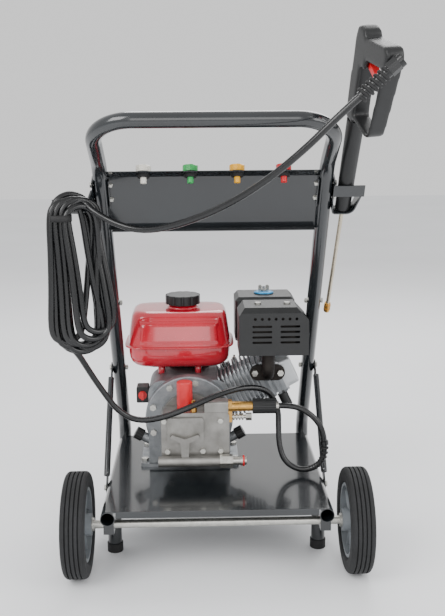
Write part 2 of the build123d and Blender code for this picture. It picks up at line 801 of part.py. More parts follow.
def tank_block(shrink):
    """The tank's outer or inner form, drawn in by a margin."""
    with BuildPart() as block:
        with BuildSketch(Plane.XY.offset(tank_seam_z)):
            with Locations((tank_x, tank_y)):
                Rectangle(tank_length - 18 - 2 * shrink, tank_width - 18 - 2 * shrink)
                fillet(vertices(), 42 - shrink)
        with BuildSketch(Plane.XY.offset(tank_top - shrink)):
            with Locations((tank_x, tank_y + 8)):
                Rectangle(tank_length - 56 - 2 * shrink, tank_width - 48 - 2 * shrink)
                fillet(vertices(), 24 - shrink)
        loft()
        with BuildSketch(Plane.XY.offset(tank_seam_z)):
            with Locations((tank_x, tank_y)):
                Rectangle(tank_length - 18 - 2 * shrink, tank_width - 18 - 2 * shrink)
                fillet(vertices(), 42 - shrink)
        with BuildSketch(Plane.XY.offset(tank_seam_z - tank_foot + shrink)):
            with Locations((tank_x, tank_y)):
                Rectangle(tank_length - 64 - 2 * shrink, tank_width - 64 - 2 * shrink)
                fillet(vertices(), 30 - shrink)
        loft()
    return block.part


tank_outer = tank_block(0)
tank_inner = tank_block(tank_sheet)
with BuildPart() as fuel_tank:
    add(tank_outer)
    with BuildSketch(Plane.XY.offset(tank_seam_z - seam_sheet / 2)):
        with Locations((tank_x, tank_y)):
            Rectangle(tank_length, tank_width)
            fillet(vertices(), 46)
    extrude(amount=seam_sheet)
    with BuildSketch(Plane.XY.offset(tank_top - 4)):
        with Locations((cap_x, tank_y + 8)):
            Circle(neck_in_r + 8)
    extrude(amount=12)
    add(tank_inner, mode=Mode.SUBTRACT)
    with BuildSketch(Plane.XY.offset(tank_top - 6)):
        with Locations((cap_x, tank_y + 8)):
            Circle(neck_in_r)
    extrude(amount=30, mode=Mode.SUBTRACT)
    with BuildSketch(Plane.XY.offset(case_top)):
        with Locations(*[(tank_x + x, tank_y - 10 + y) for x in (-40, 40) for y in (-34, -4)]):
            Circle(7)
    extrude(amount=tank_seam_z - tank_foot - case_top)
save(fuel_tank, "fuel_tank")

with BuildPart() as fuel_cap:
    with BuildSketch(Plane.XY.offset(tank_top + 8 + axial_play)):
        with Locations((cap_x, tank_y + 8)):
            Circle(fuel_cap_r)
            with PolarLocations(fuel_cap_r + 2, 12):
                Circle(4.5, mode=Mode.SUBTRACT)
    extrude(amount=20)
    fillet(fuel_cap.faces().sort_by(Axis.Z)[-1].edges(), 2)
    with BuildSketch(Plane.XY.offset(tank_top - 2)):
        with Locations((cap_x, tank_y + 8)):
            Circle(neck_in_r - running)
    extrude(amount=12)
save(fuel_cap, "fuel_cap")

# ---------------------------------------------------------------- muffler, its pipe and its guard
guard_x = (50.0, 192.0)
guard_front = axle_y + 150.0
guard_depth = 94.0
guard_z = (392.0, 490.0)
guard_sheet_t = 1.5
guard_mid = (guard_x[0] + guard_x[1]) / 2
guard_wide = guard_x[1] - guard_x[0]
guard_tall = guard_z[1] - guard_z[0]
pipe_x = 112.0
pipe_r = 13.0
head_front = cylinder_y - (fin_size - 2) / 2
flange_z = 341.0
flange_sheet = 5.0
slot_rows = 4
with BuildPart() as muffler_guard:
    with BuildSketch(facing(guard_mid, guard_front + guard_depth, guard_z[0])):
        with BuildLine():
            Polyline(
                (-guard_wide / 2, 0),
                (guard_wide / 2, 0),
                (guard_wide / 2, guard_tall - 26),
                (guard_wide / 2 - 24, guard_tall),
                (-guard_wide / 2 + 12, guard_tall),
                (-guard_wide / 2, guard_tall - 16),
                close=True,
            )
        make_face()
    extrude(amount=guard_depth)
    chamfer(muffler_guard.edges().filter_by(Axis.X).group_by(Axis.Z)[-1].sort_by(Axis.Y)[0], 10)
    back = muffler_guard.faces().sort_by(Axis.Y)[-1]
    base = muffler_guard.faces().sort_by(Axis.Z)[0]
    offset(amount=-guard_sheet_t, openings=[back, base])
    for column in (-24, 33):
        with BuildSketch(facing(guard_mid + column, guard_front + 5, guard_z[0] + 44)):
            with GridLocations(0, 11, 1, slot_rows):
                SlotOverall(40, 4.5)
        extrude(amount=10, mode=Mode.SUBTRACT)
    with BuildSketch(facing(guard_mid + 4, guard_front + 5, guard_z[0] + 76)):
        with GridLocations(14, 0, 7, 1):
            Circle(3)
    extrude(amount=10, mode=Mode.SUBTRACT)
save(muffler_guard, "muffler_guard")

with BuildPart() as muffler:
    with BuildSketch(Plane.XY.offset(guard_z[0] + 8)):
        with Locations((guard_mid, guard_front + guard_depth / 2)):
            Rectangle(guard_wide - 24, guard_depth - 14)
            fillet(vertices(), 22)
    extrude(amount=guard_tall - 27)
    with BuildLine():
        FilletPolyline(
            (pipe_x, head_front, flange_z),
            (pipe_x, head_front - 28, flange_z),
            (pipe_x, head_front - 28, guard_z[0] + 10),
            radius=16,
        )
    with BuildSketch(facing(pipe_x, head_front, flange_z)):
        Circle(pipe_r)
    sweep()
    with BuildSketch(facing(pipe_x, head_front, flange_z)):
        SlotOverall(74, 34)
    extrude(amount=flange_sheet)
    for x in (-30, 30):
        with BuildSketch(Plane.XY.offset(guard_z[1] - 20)):
            with Locations((guard_mid + x, guard_front + guard_depth / 2)):
                Circle(6)
        extrude(amount=20 - guard_sheet_t)
    cylinder_box = cylinder.part
    add(cylinder_box, mode=Mode.SUBTRACT)
save(muffler, "muffler")

# ---------------------------------------------------------------- fan housing with recoil starter
fan_r = 90.0
fan_depth = 62.0
recoil_r = 80.0
recoil_depth = 28.0
fan_z = crank_z
fan_wall = 2.5
fan_back = case_back + fan_depth
recoil_back = fan_back + recoil_depth
rope_lift = 52.0
rope_exit = crank_x + (recoil_r**2 - rope_lift**2) ** 0.5
rope_y = fan_back + 14
lever_x = crank_x + fan_r + 6
lever_y = fan_back - 30
lever_z = fan_z + 44
pin_r = 2.5
with BuildPart() as fan_housing:
    with BuildSketch(facing(crank_x, fan_back, fan_z)):
        Circle(fan_r)
        with Locations((0, -45)):
            Rectangle(130, 96)
    extrude(amount=fan_depth)
    with BuildSketch(facing(crank_x, recoil_back, fan_z)):
        Circle(recoil_r)
    extrude(amount=recoil_depth)
    fillet(fan_housing.faces().sort_by(Axis.Y)[-1].edges(), 8)
    with BuildSketch(facing(crank_x, fan_back - fan_wall, fan_z)):
        Circle(fan_r - fan_wall)
    extrude(amount=fan_depth, mode=Mode.SUBTRACT)
    with BuildSketch(facing(crank_x, recoil_back - fan_wall, fan_z)):
        Circle(recoil_r - 9)
    extrude(amount=recoil_depth, mode=Mode.SUBTRACT)
    with BuildSketch(facing(crank_x, recoil_back + 1, fan_z)):
        with PolarLocations(52, 14):
            SlotOverall(26, 6)
    extrude(amount=fan_wall + 2, mode=Mode.SUBTRACT)
    with BuildSketch(across(crank_x + 20, rope_y, fan_z + rope_lift)):
        Circle(3)
    extrude(amount=recoil_r, mode=Mode.SUBTRACT)
    with BuildSketch(across(lever_x - 20, lever_y, lever_z)):
        Circle(6)
    extrude(amount=20 - axial_play)
    with BuildSketch(across(lever_x - 20, lever_y, lever_z)):
        Circle(pin_r)
    extrude(amount=25)
save(fan_housing, "fan_housing")

with BuildPart() as recoil_grip:
    with BuildSketch(across(rope_exit + 13, rope_y, fan_z + rope_lift)):
        SlotOverall(32, 12, rotation=90)
    extrude(amount=15)
    with BuildSketch(across(rope_exit - 18, rope_y, fan_z + rope_lift)):
        Circle(2.2)
    extrude(amount=32)
save(recoil_grip, "recoil_grip")

# ---------------------------------------------------------------- crankshaft and flywheel
flywheel_r = 80.0
shaft_tip = face_y - 46.0
with BuildPart() as crankshaft:
    with BuildSketch(facing(crank_x, fan_back - 6, crank_z)):
        Circle(shaft_r)
    extrude(amount=fan_back - 6 - shaft_tip)
    with BuildSketch(facing(crank_x, fan_back - 8, crank_z)):
        Circle(flywheel_r)
    extrude(amount=24)
    with BuildSketch(facing(crank_x, case_back - 30, crank_z)):
        Circle(38)
    extrude(amount=16)
    with BuildSketch(facing(crank_x, case_back - 66, crank_z)):
        Circle(38)
    extrude(amount=16)
save(crankshaft, "crankshaft")

# ---------------------------------------------------------------- air cleaner, carburettor and controls
air_x = (48.0, 178.0)
air_y = (axle_y + 288.0, axle_y + 392.0)
air_z = (396.0, 486.0)
air_mid = ((air_x[0] + air_x[1]) / 2, (air_y[0] + air_y[1]) / 2)
air_wall = 2.0
stud_r = 3.0
stud_top = air_z[1] + 16
carb_z = 330.0
with BuildPart() as air_cleaner:
    with BuildSketch(Plane.XY.offset(air_z[0])):
        with Locations(air_mid):
            Rectangle(air_x[1] - air_x[0], air_y[1] - air_y[0])
            fillet(vertices(), 12)
    extrude(amount=air_z[1] - air_z[0])
    chamfer(air_cleaner.faces().sort_by(Axis.Z)[-1].edges(), 8)
    offset(amount=-air_wall, openings=air_cleaner.faces().sort_by(Axis.Z)[0])
    with BuildSketch(Plane.XY.offset(air_z[1] - 10)):
        with Locations(air_mid):
            Circle(stud_r)
    extrude(amount=20, mode=Mode.SUBTRACT)
save(air_cleaner, "air_cleaner")

with BuildPart() as carburettor:
    with BuildSketch(Plane.XY.offset(air_z[0] - 6)):
        with Locations(air_mid):
            Rectangle(air_x[1] - air_x[0], air_y[1] - air_y[0])
            fillet(vertices(), 12)
    extrude(amount=6)
    with BuildSketch(Plane.XY.offset(air_z[0])):
        with Locations(air_mid):
            Circle(36)
    extrude(amount=60)
    with BuildSketch(Plane.XY.offset(air_z[0] + 60)):
        with Locations(air_mid):
            Circle(stud_r)
    extrude(amount=stud_top - air_z[0] - 60)
    with BuildSketch(Plane.XY.offset(carb_z + 20)):
        with Locations((air_mid[0], air_mid[1] - 12)):
            Rectangle(44, 50)
            fillet(vertices(), 6)
    extrude(amount=air_z[0] - carb_z - 26)
    with BuildSketch(Plane.XY.offset(carb_z - 4)):
        with Locations((air_mid[0], air_mid[1] - 8)):
            Circle(18)
    extrude(amount=24)
    with BuildSketch(facing(air_mid[0], air_mid[1] - 30, carb_z + 26)):
        Circle(15)
    extrude(amount=air_mid[1] - 30 - cylinder_y - 44)
    add([cylinder.part, rocker_cover.part], mode=Mode.SUBTRACT)
save(carburettor, "carburettor")

nut_base = air_z[1] + axial_play
with BuildPart() as wing_nut:
    with BuildSketch(Plane.XY.offset(nut_base)):
        with Locations(air_mid):
            Circle(21)
    extrude(amount=2)
    with BuildSketch(Plane.XY.offset(nut_base + 2)):
        with Locations(air_mid):
            Circle(6)
    extrude(amount=8)
    with BuildSketch(facing(air_mid[0], air_mid[1] + 1.25, nut_base + 12)):
        with Locations((-8, 0), (8, 0)):
            SlotOverall(14, 8, rotation=90)
    extrude(amount=2.5)
    with BuildSketch(Plane.XY.offset(nut_base)):
        with Locations(air_mid):
            Circle(stud_r + running)
    extrude(amount=30, mode=Mode.SUBTRACT)
save(wing_nut, "wing_nut")

lever_sheet = 2.5
with BuildPart() as throttle_lever:
    with BuildSketch(across(lever_x, lever_y, lever_z)):
        Circle(7)
        with Locations((0, 22)):
            SlotOverall(50, 9, rotation=90)
        Circle(pin_r + running, mode=Mode.SUBTRACT)
    extrude(amount=lever_sheet)
    with BuildSketch(across(lever_x + lever_sheet, lever_y, lever_z)):
        with Locations((0, 42)):
            SlotOverall(22, 12, rotation=90)
    extrude(amount=5)
save(throttle_lever, "throttle_lever")

# ---------------------------------------------------------------- ignition parts and engine switch
switch_x = crank_x - case_half - 13
switch_z = crank_z + 42
switch_front = face_y + 40
switch_shaft_r = 3.0
plug_y = cylinder_y
with BuildPart() as ignition:
    with BuildSketch(facing(switch_x, switch_front + 34, switch_z)):
        Rectangle(26, 34)
        fillet(vertices(), 3)
    extrude(amount=34)
    with BuildSketch(facing(switch_x, switch_front + 20, switch_z)):
        Circle(switch_shaft_r + running)
    extrude(amount=30, mode=Mode.SUBTRACT)
    down = Vector(sin(radians(cylinder_tilt)), 0, -cos(radians(cylinder_tilt)))
    plug_seat = Vector(crank_x, plug_y, crank_z) + fin_dir * (head_start + 30) + down * 44
    with BuildSketch(Plane(origin=plug_seat, z_dir=down)):
        Circle(7)
    extrude(amount=12)
    with BuildSketch(Plane(origin=plug_seat + down * 12, z_dir=down)):
        Circle(11)
    extrude(amount=30)
    add(crankcase.part, mode=Mode.SUBTRACT)
save(ignition, "ignition")

with BuildPart() as engine_switch:
    with BuildSketch(facing(switch_x, switch_front + 18, switch_z)):
        Circle(switch_shaft_r)
    extrude(amount=18 + axial_play)
    with BuildSketch(facing(switch_x, switch_front - axial_play, switch_z)):
        Circle(9)
    extrude(amount=3)
    with BuildSketch(facing(switch_x, switch_front - axial_play - 3, switch_z)):
        Rectangle(5, 17)
    extrude(amount=6)
save(engine_switch, "engine_switch")

# ---------------------------------------------------------------- pump
flange_r = 60.0
pump_flange = 14.0
block_x = (-110.0, 28.0)
block_z = (178.0, 284.0)
block_depth = 56.0
block_mid = ((block_x[0] + block_x[1]) / 2, (block_z[0] + block_z[1]) / 2)
pump_front = face_y - pump_flange - block_depth
port_z = 292.0
port_y = pump_front + 16
port_x = 26.0
port_r = 10.0
intake_z = 186.0
intake_y = pump_front - 12
intake_r = 11.0
intake_x = (-116.0, 8.0)
column_x = -62.0
plug_x = -62.0
plug_y2 = pump_front + 30
plug_r = 16.0
barb_x = -22.0
with BuildPart() as pump_body:
    with BuildSketch(facing(crank_x, face_y, crank_z)):
        Circle(flange_r)
    extrude(amount=pump_flange)
    with BuildSketch(facing(block_mid[0], face_y - pump_flange, block_mid[1])):
        Rectangle(block_x[1] - block_x[0], block_z[1] - block_z[0])
        fillet(vertices(), 9)
    extrude(amount=block_depth)
    with BuildSketch(facing(block_mid[0] - 20, pump_front, block_mid[1] + 18)):
        Rectangle(74, 52)
        fillet(vertices(), 5)
    extrude(amount=5)
    with BuildSketch(across(port_x - 48, port_y, port_z)):
        RectangleRounded(30, 28, 4)
    extrude(amount=48)
    with BuildSketch(facing(crank_x, face_y + 1, crank_z)):
        Circle(shaft_r + 5)
    extrude(amount=face_y + 1 - shaft_tip + 4, mode=Mode.SUBTRACT)
save(pump_body, "pump_body")

with BuildPart() as pump_manifold:
    with BuildSketch(across(intake_x[0], intake_y, intake_z)):
        Circle(intake_r)
        Circle(6, mode=Mode.SUBTRACT)
    extrude(amount=intake_x[1] - intake_x[0])
    with BuildSketch(facing(column_x, pump_front, intake_z + 26)):
        with BuildLine():
            Polyline((-7, -18), (7, -18), (9, 14), (30, 26), (26, 31), (0, 22), (-26, 31), (-30, 26), (-9, 14),
                     close=True)
        make_face()
    extrude(amount=16)
    with BuildSketch(facing(column_x, pump_front, intake_z)):
        Rectangle(96, 14)
    extrude(amount=14)
    with BuildSketch(across(intake_x[0] + 3, intake_y, intake_z)):
        Circle(6)
    extrude(amount=intake_x[1] - intake_x[0] - 3, mode=Mode.SUBTRACT)
    add(pump_body.part, mode=Mode.SUBTRACT)
save(pump_manifold, "pump_manifold")

inlet_end = intake_x[1] + 54
collar_start = port_x + 50
collar_length = 47.0
nipple_r = 7.0
hose_start = collar_start + collar_length + 6
with BuildPart() as steel_fittings:
    with BuildSketch(across(intake_x[1], intake_y, intake_z)):
        RegularPolygon(12, 6, major_radius=False)
    extrude(amount=26)
    with BuildSketch(across(intake_x[1] + 26, intake_y, intake_z)):
        Circle(8.5)
    extrude(amount=28)
    with BuildSketch(across(inlet_end - 12, intake_y, intake_z)):
        Circle(10)
    extrude(amount=5)
    with BuildSketch(across(intake_x[1], intake_y, intake_z)):
        Circle(5)
    extrude(amount=54, mode=Mode.SUBTRACT)
    with BuildSketch(across(port_x + 8, port_y, port_z - 22)):
        Circle(4)
    extrude(amount=30)
    for i in range(4):
        with BuildSketch(across(port_x + 10 + i * 6, port_y, port_z - 22)):
            Circle(7)
        extrude(amount=3)
    with BuildSketch(across(port_x + 36, port_y, port_z - 22)):
        RegularPolygon(7, 6, major_radius=False)
    extrude(amount=12)
    with BuildSketch(across(collar_start + collar_length + axial_play, port_y, port_z)):
        Circle(9)
        Circle(nipple_r, mode=Mode.SUBTRACT)
    extrude(amount=6 - axial_play)
    add(pump_body.part, mode=Mode.SUBTRACT)
save(steel_fittings, "steel_fittings")

with BuildPart() as brass_fittings:
    with BuildSketch(across(port_x, port_y, port_z)):
        RegularPolygon(13, 6, major_radius=False)
    extrude(amount=8)
    with BuildSketch(across(port_x + 8, port_y, port_z)):
        Circle(port_r)
    extrude(amount=42 - axial_play)
    with BuildSketch(across(port_x, port_y, port_z)):
        Circle(nipple_r)
    extrude(amount=hose_start - port_x)
    with BuildSketch(across(port_x, port_y, port_z - 15)):
        Rectangle(22, 30)
    extrude(amount=8)
    with BuildSketch(Plane.XY.offset(block_z[1])):
        with Locations((barb_x - 22, port_y - 6)):
            RegularPolygon(7, 6)
    extrude(amount=10)
    with BuildSketch(Plane.XY.offset(block_z[1] + 10)):
        with Locations((barb_x - 22, port_y - 6)):
            Circle(4)
    extrude(amount=14)
    add(pump_body.part, mode=Mode.SUBTRACT)
save(brass_fittings, "brass_fittings")

with BuildPart() as coupler_collar:
    with BuildSketch(across(collar_start, port_y, port_z)):
        Circle(15.5)
        with PolarLocations(16.3, 16):
            Circle(1.6, mode=Mode.SUBTRACT)
        Circle(nipple_r + running, mode=Mode.SUBTRACT)
    extrude(amount=collar_length)
save(coupler_collar, "coupler_collar")

with BuildPart() as breather_plug:
    with BuildSketch(Plane.XY.offset(block_z[1])):
        with Locations((plug_x, plug_y2)):
            Circle(plug_r)
    extrude(amount=58)
    fillet(breather_plug.faces().sort_by(Axis.Z)[-1].edges(), 3)
save(breather_plug, "breather_plug")

# ---------------------------------------------------------------- engine, exhaust and pump bolts
with BuildPart() as engine_bolts:
    for x, y in base_bolts:
        with BuildSketch(Plane.XY.offset(deck_height + rail_sheet)):
            with Locations((x, y)):
                RegularPolygon(6.5, 6, major_radius=False)
        extrude(amount=5.5)
        with BuildSketch(Plane.XY.offset(deck_height + rail_sheet)):
            with Locations((x, y)):
                Circle(base_bolt_d / 2)
        extrude(amount=-rail_sheet - deck_sheet - 9)
        with BuildSketch(Plane.XY.offset(deck_height - deck_sheet)):
            with Locations((x, y)):
                RegularPolygon(6.5, 6, major_radius=False)
        extrude(amount=-6.5)
    with BuildSketch(facing(crank_x, face_y, crank_z)):
        with PolarLocations(case_r - 12, 6, start_angle=40, angular_range=200, endpoint=True):
            RegularPolygon(6, 6, major_radius=False)
    extrude(amount=6)
    with BuildSketch(facing(pipe_x, head_front - flange_sheet, flange_z)):
        with Locations((-27, 0), (27, 0)):
            RegularPolygon(6, 6, major_radius=False)
    extrude(amount=7)
    with BuildSketch(Plane.XY.offset(guard_z[1])):
        with Locations(*[(guard_mid + x, guard_front + guard_depth / 2) for x in (-30, 30)]):
            RegularPolygon(6, 6, major_radius=False)
    extrude(amount=4)
    with BuildSketch(facing(0, pump_front, 0)):
        with Locations((-98, 204), (-26, 204), (-104, 268), (10, 268), (10, 204)):
            RegularPolygon(5, 6, major_radius=False)
    extrude(amount=5)
save(engine_bolts, "engine_bolts")

# ---------------------------------------------------------------- high-pressure hose
hose_r = hose_od / 2
coil_thick = 44.0
coil_y = axle_y + 28.0
coil_outline = [
    (-308, 640), (-298, 708), (-262, 719), (-236, 712), (-212, 600),
    (-194, 500), (-206, 440), (-250, 425), (-296, 432),
]
lower_route = [
    (hose_start, port_y, port_z),
    (162, port_y, port_z),
    (194, port_y - 6, 276),
    (220, port_y - 8, 244),
    (225, port_y - 8, 184),
    (204, port_y - 6, 158.5),
    (172, port_y - 2, 153),
    (143, port_y + 4, 169),
    (132, port_y + 12, 200),
    (131, port_y + 24, 238),
    (132, port_y + 34, 274),
    (112, port_y + 32, 316),
    (66, port_y + 12, 330),
    (8, port_y - 10, 322),
    (-50, port_y - 26, 300),
    (-108, port_y - 34, 280),
    (-158, port_y - 36, 276),
    (-194, port_y - 42, 300),
    (-218, port_y - 52, 340),
    (-240, port_y - 70, 384),
    (-250, coil_y, 424),
]
upper_route = [
    tuple(relief_end),
    tuple(relief_end + relief_dir * 44),
    (146, axle_y - 176, 818),
    (80, axle_y - 142, 760),
    (4, axle_y - 98, 712),
    (-72, axle_y - 52, 680),
    (-134, axle_y - 16, 668),
    (-186, axle_y + 10, 682),
    (-227, axle_y + 28, 690),
]


def turn_radii(route):
    """The largest radius that each corner's two runs allow."""
    points = [Vector(*p) for p in route]
    radii = []
    for before, here, after in zip(points, points[1:], points[2:]):
        turn = radians((here - before).get_angle(after - here))
        short = min((here - before).length, (after - here).length)
        radii.append(0.45 * short / tan(turn / 2))
    return radii


def hose_run(route):
    """A plain tube along a route of straight runs joined by tangent arcs."""
    with BuildPart() as run:
        with BuildLine() as path:
            FilletPolyline(*route, radius=turn_radii(route))
        with BuildSketch(Plane(origin=path.line @ 0, z_dir=path.line % 0)):
            Circle(hose_r)
        sweep()
    length = sum(edge.length for edge in path.line.edges())
    print("hose run", round(length), "volume ratio", round(run.part.volume / (length * pi * hose_r**2), 4))
    print("radii", [round(r) for r in turn_radii(route)])
    return run


hose_lower = hose_run(lower_route)
save(hose_lower, "hose_lower")
hose_upper = hose_run(upper_route)
save(hose_upper, "hose_upper")

with BuildPart() as hose_coil:
    with BuildSketch(facing(0, coil_y + coil_thick / 2, 0)):
        with BuildLine():
            Polyline(*coil_outline, close=True)
        make_face()
        fillet(vertices(), 8)
    extrude(amount=coil_thick)
    add([hose_lower.part, hose_upper.part, hose_hook.part], mode=Mode.SUBTRACT)
save(hose_coil, "hose_coil")

# ---------------------------------------------------------------- bend restrictor on the hose
sleeve_r = 8.5
sleeve_from = Vector(*lower_route[3])
sleeve_to = Vector(*lower_route[4])
sleeve_way = (sleeve_to - sleeve_from).normalized()
with BuildPart() as bend_restrictor:
    with BuildSketch(Plane(origin=(sleeve_from + sleeve_to) * 0.5 - sleeve_way * 4, z_dir=sleeve_way)):
        Circle(sleeve_r)
    extrude(amount=8)
    add(hose_lower.part, mode=Mode.SUBTRACT)
save(bend_restrictor, "bend_restrictor")
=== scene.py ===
# %% [markdown]
# # A petrol pressure washer on two wheels
# The trolley, engine, pump and spray gun come from a CAD model. Here they get their paint, rubber
# and metal, and the things that CAD makes too stiffly: a loose coil of hose, springs of rubber and
# pressed sheet. Everything is in metres, with the floor at z = 0 and the front towards -Y.

# %% Loading the frame
import json
import math
import bmesh
import bpy
from mathutils import Matrix, Vector


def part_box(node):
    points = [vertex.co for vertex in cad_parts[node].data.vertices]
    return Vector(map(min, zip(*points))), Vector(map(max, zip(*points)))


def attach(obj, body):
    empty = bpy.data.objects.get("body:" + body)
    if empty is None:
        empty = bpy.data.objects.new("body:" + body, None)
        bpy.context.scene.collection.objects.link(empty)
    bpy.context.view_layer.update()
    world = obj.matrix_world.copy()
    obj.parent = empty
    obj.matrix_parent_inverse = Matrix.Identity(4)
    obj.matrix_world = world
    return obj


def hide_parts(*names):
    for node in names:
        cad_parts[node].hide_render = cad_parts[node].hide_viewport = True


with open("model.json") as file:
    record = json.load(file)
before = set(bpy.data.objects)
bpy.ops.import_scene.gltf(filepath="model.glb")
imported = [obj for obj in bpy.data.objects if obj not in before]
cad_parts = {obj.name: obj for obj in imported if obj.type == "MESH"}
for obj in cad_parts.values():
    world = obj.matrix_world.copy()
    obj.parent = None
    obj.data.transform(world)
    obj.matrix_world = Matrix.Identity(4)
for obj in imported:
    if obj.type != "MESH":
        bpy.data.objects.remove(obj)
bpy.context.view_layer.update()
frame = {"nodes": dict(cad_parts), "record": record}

# %% [markdown]
# ## Camera
# A product picture of a waist-high machine is taken from a little above it with a normal lens,
# so its upright lines stay nearly upright. A 52 mm lens on a 36 mm frame does that. The rotation
# is built from three turns: the roll, the tilt down from level, and the turn about the upright.

# %% The camera
camera_place = Vector((-0.0265, -1.7232, 0.8544))
tilt_down = 0.2023
turn_right = 0.0246
roll = -0.0081
camera_data = bpy.data.cameras.new("camera")
camera_data.lens = 52.4
camera_data.sensor_width = 36.0
camera = bpy.data.objects.new("camera", camera_data)
bpy.context.collection.objects.link(camera)
aim = Matrix.Rotation(-turn_right, 4, "Z") @ Matrix.Rotation(math.pi / 2 - tilt_down, 4, "X")
camera.matrix_world = Matrix.Translation(camera_place) @ aim @ Matrix.Rotation(roll, 4, "Z")
bpy.context.scene.camera = camera
print("camera at", tuple(camera_place))

# %% [markdown]
# ## Hose
# The hose is one length of 12 mm rubber tube, about 6.7 m, from the pump to the gun. It leaves the
# pump's quick coupler, drops in a loop, runs to the left, hangs in loose loops on a hook, and goes
# on to the gun. A NURBS curve is right for it, because its line is smooth wherever the points
# are, as a bent hose is. The two routes are listed, and a loop works out the hanging turns.

# %% The two routes
hose_radius = 0.006
pump_route = [
    (0.129, 0.0217, 0.292), (0.162, 0.0217, 0.292), (0.194, 0.0157, 0.276), (0.220, 0.0137, 0.244),
    (0.225, 0.0137, 0.184), (0.204, 0.0157, 0.1585), (0.172, 0.0197, 0.153),
    (0.143, 0.0257, 0.169), (0.132, 0.0337, 0.200), (0.131, 0.0457, 0.238),
    (0.132, 0.0557, 0.274), (0.112, 0.0537, 0.316),
    (0.066, 0.0337, 0.330), (0.008, 0.0117, 0.322), (-0.050, -0.0043, 0.300),
    (-0.108, -0.0123, 0.280), (-0.158, -0.0143, 0.276), (-0.194, -0.0203, 0.300),
    (-0.218, -0.0303, 0.340), (-0.240, -0.0483, 0.384),
]
gun_route = [
    (-0.224, -0.0883, 0.704), (-0.186, -0.0993, 0.682), (-0.134, -0.1253, 0.668),
    (-0.072, -0.1613, 0.680), (0.004, -0.2073, 0.712), (0.080, -0.2513, 0.760),
    (0.146, -0.2853, 0.818), (0.1914, -0.3000, 0.865), (0.2241, -0.3044, 0.8941),
]
print("route points", len(pump_route), len(gun_route))

# %% The hanging turns
# Each turn is a long narrow loop over the hook's arm. Its left side hangs in front of the arm and
# its right side behind it. Each row is one turn: the top and the bottom of its middle line across
# and up, its half width, and how far it stands forward of the arm, all in millimetres.
arm_thickness = 8
arm_top = 1000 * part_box("hose_hook")[0][2] + arm_thickness
arm_depth = -79.0
rest_gap = 7            # from the arm's top to a turn's middle line
side_depth = 15         # how far each side stands before or behind the arm
corner_push = 1.06      # the line cuts inside its control points, so they stand out a little
side_pull = 0.92        # and the long sides draw in between the bends
turns = [
    (-266, 0, -264, 446, 29, -4), (-257, 2, -247, 436, 31, 2), (-270, 11, -276, 458, 26, -9),
    (-248, 13, -240, 449, 30, -3), (-262, 22, -256, 437, 32, 4), (-244, 1, -226, 462, 27, -7),
    (-253, 12, -236, 441, 31, 7), (-240, 11, -217, 474, 26, 1),
]


def turn_points(turn, following):
    """One turn, clockwise as seen from the front, whose last quarter leads into the next one."""
    top_x, lift, bottom_x, bottom_z, half, forward = turn
    next_x, next_z, next_half, next_forward = following[2], following[3], following[4], following[5]
    top = Vector((top_x, forward, arm_top + rest_gap + lift - half))
    bottom = Vector((bottom_x, forward, bottom_z + half))
    ahead = Vector((next_x, next_forward, next_z + next_half))
    places = [(bottom, 270, half), (bottom, 225, half), (bottom, 180, half)]
    places += [(bottom.lerp(top, share), 180, side_pull * half) for share in (1 / 3, 2 / 3)]
    places += [(top, angle, half) for angle in (180, 135, 90, 45, 0)]
    places += [(top.lerp(ahead, share), 0, side_pull * half) for share in (1 / 3, 2 / 3)]
    places += [(ahead, 0, next_half), (ahead, 315, next_half)]
    points = []
    for centre, angle, reach in places:
        side = math.cos(math.radians(angle))
        rise = math.sin(math.radians(angle))
        spot = centre + corner_push * reach * Vector((side, 0, rise))
        depth = arm_depth + side_depth * side + centre.y
        points.append(Vector((spot.x, depth, spot.z)) / 1000)
    return points


last_turn = (-258, 14, -250, 452, 30, -6)
coil = []
for turn, following in zip(turns, turns[1:] + [last_turn]):
    coil += turn_points(turn, following)
coil += turn_points(last_turn, last_turn)[:9]
print("coil points", len(coil))

# %% Laying the hose
hose_points = [Vector(point) for point in pump_route] + coil + [Vector(p) for p in gun_route]
hose_curve = bpy.data.curves.new("hose", "CURVE")
hose_curve.dimensions = "3D"
spline = hose_curve.splines.new("NURBS")
spline.points.add(len(hose_points) - 1)
for control, place in zip(spline.points, hose_points):
    control.co = (*place, 1)
spline.order_u = 3
spline.use_endpoint_u = True
spline.resolution_u = 5
hose_curve.bevel_depth = hose_radius
hose_curve.bevel_resolution = 4
hose_curve.use_fill_caps = True
print("hose curve", len(hose_points), "control points")

# %% The smooth line itself
# A copy of the curve with no tube gives the middle line, which measures the hose and carries the
# ribs that sit on it.
bare = hose_curve.copy()
bare.bevel_depth = 0
holder = bpy.data.objects.new("bare", bare)
line_mesh = bpy.data.meshes.new_from_object(holder)
hose_line = [vertex.co.copy() for vertex in line_mesh.vertices]
bpy.data.objects.remove(holder)
bpy.data.meshes.remove(line_mesh)
bpy.data.curves.remove(bare)

# %% The tube round the line
# The curve's own tube becomes a mesh, so that its box and its faces are plain to read.
tube = bpy.data.objects.new("tube", hose_curve)
hose_mesh = bpy.data.meshes.new_from_object(tube)
hose_mesh.name = "hose"
bpy.data.objects.remove(tube)
for face in hose_mesh.polygons:
    face.use_smooth = True
hose = bpy.data.objects.new("hose", hose_mesh)
bpy.context.collection.objects.link(hose)
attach(hose, "trolley")
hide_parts("hose_lower", "hose_coil", "hose_upper")
print("hose faces", len(hose_mesh.polygons))

# %% [markdown]
# ## Floor and light
# A studio sweep is a pale sheet of paper that lights the object from below too. A wide plane does
# the same for this camera. Four large soft lamps stand for softboxes: the key from the upper
# left, a fill from the right, one behind that draws the edges of the black tubes, and a weak one
# near the camera.

